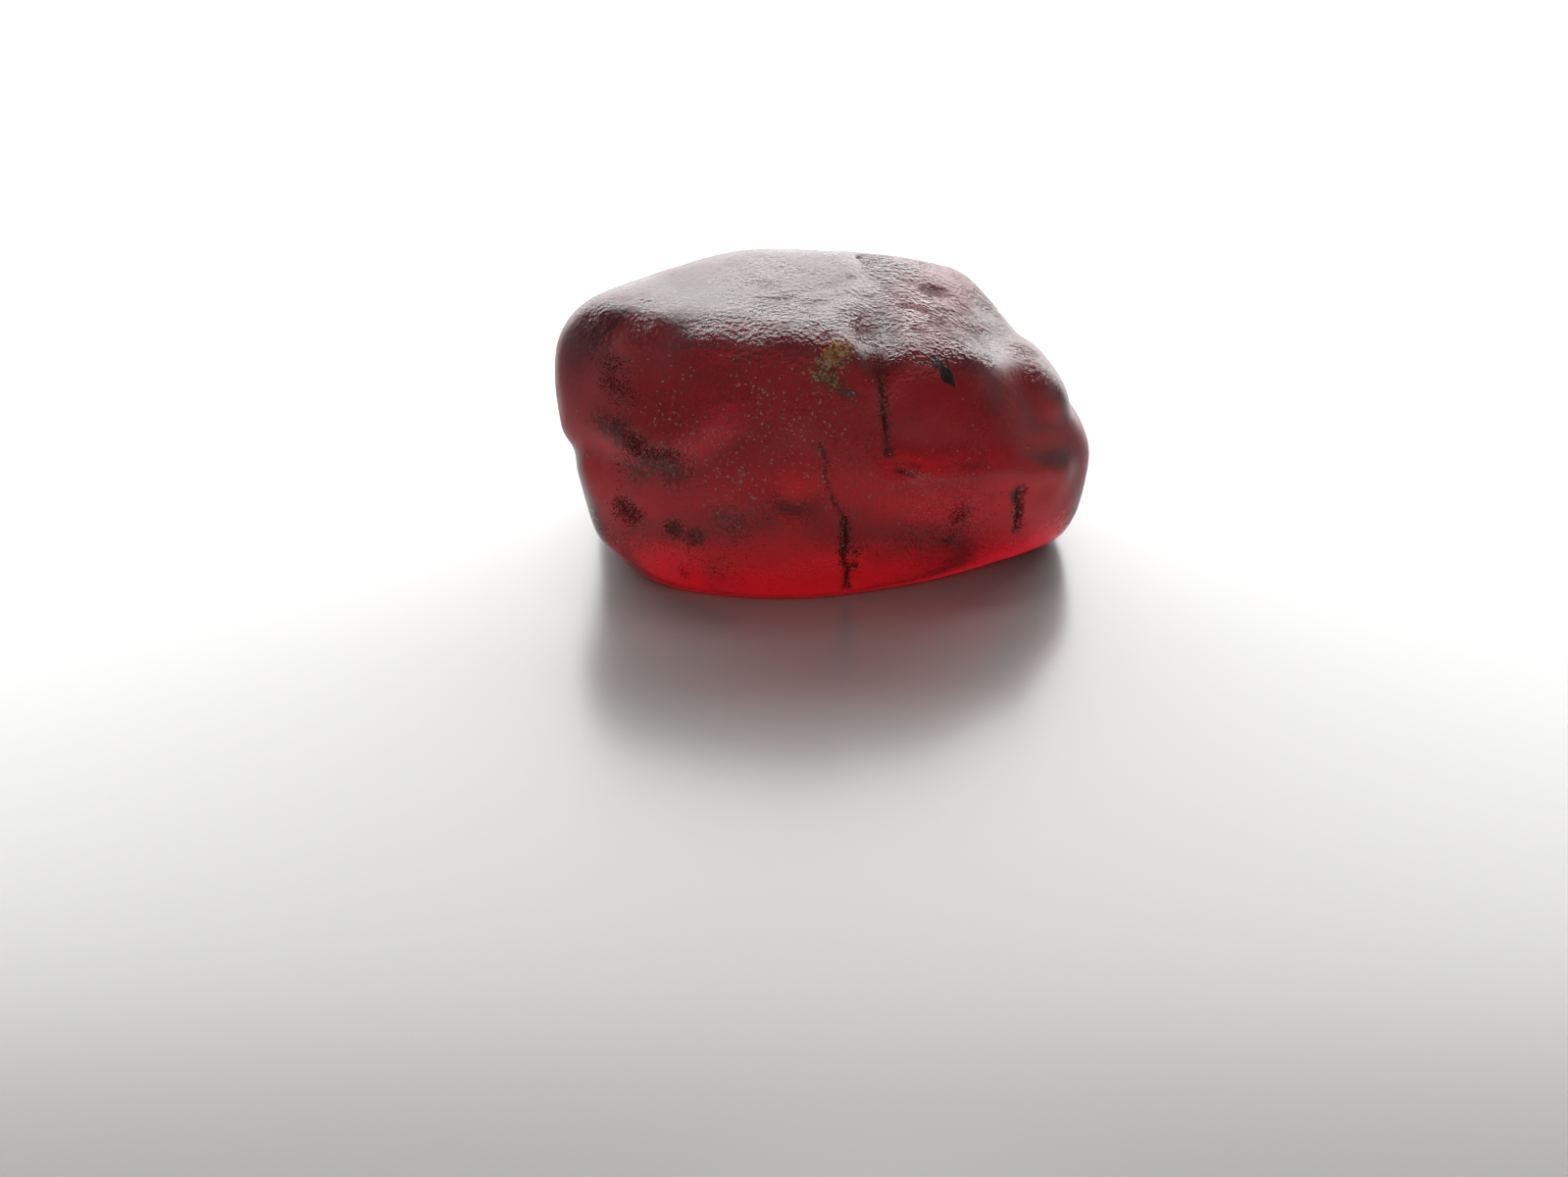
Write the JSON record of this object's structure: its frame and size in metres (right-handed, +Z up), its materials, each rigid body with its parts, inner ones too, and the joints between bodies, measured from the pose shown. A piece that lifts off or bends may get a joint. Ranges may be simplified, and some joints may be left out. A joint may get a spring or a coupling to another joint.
{
  "type": "garnet crystal",
  "caption": "Loose, water-worn red garnet crystal: a stubby, rounded, see-through stone with frosted, pitted faces, lying on a flat worn side.",
  "frame": {"origin": "centre of the stone's bounding box, at the level of its flat resting side", "axes": "+X along the stone's length towards its tapered end, +Y towards its back, +Z up from the resting side"},
  "size_m": [0.0254, 0.0148, 0.0131],
  "materials": {
    "garnet": "see-through deep red stone, frosted and pitted by wear"
  },
  "bodies": {
    "root": {"garnet_crystal": "garnet"}
  },
  "joints": []
}
